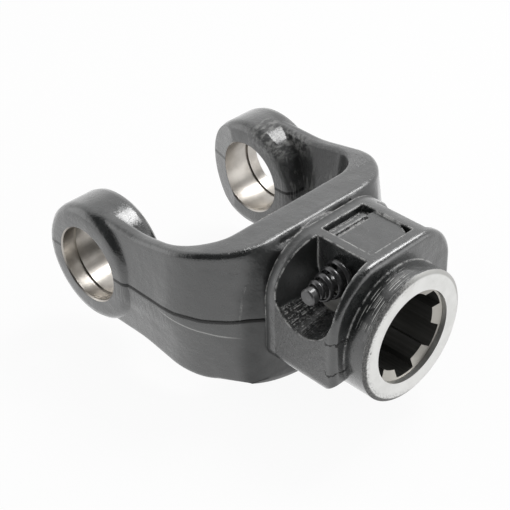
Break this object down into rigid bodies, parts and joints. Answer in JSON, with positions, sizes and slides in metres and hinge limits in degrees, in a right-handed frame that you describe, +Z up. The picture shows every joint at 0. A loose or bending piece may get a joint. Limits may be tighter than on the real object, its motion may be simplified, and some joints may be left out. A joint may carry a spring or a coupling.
{
  "type": "driveline yoke",
  "caption": "Forged fork yoke with two bored ears, a splined hub and a spring-loaded locking pin across its collar.",
  "frame": {"origin": "joint centre: the middle of the trunnion axis between the two ears", "axes": "+X along the spline axis towards the splined nose, +Y along the trunnion bores, away from the pin's push tip, +Z up through the collar's top panel"},
  "size_m": [0.1396, 0.1034, 0.068],
  "materials": {
    "forging": "satin black paint over a forged surface, bare where it is machined",
    "pin": "turned steel",
    "spring": "drawn spring wire"
  },
  "bodies": {
    "yoke": {"yoke_forging": "forging", "pin_spring": "spring"},
    "pin": {"lock_pin": "pin"}
  },
  "joints": [
    {"name": "pin_press", "type": "slide", "parent": "yoke", "child": "pin", "axis": [0, 1, 0], "range_m": [0, 0.01], "stiffness_N_per_m": 1200, "springref_m": -0.004, "deforming": ["pin_spring"]}
  ]
}
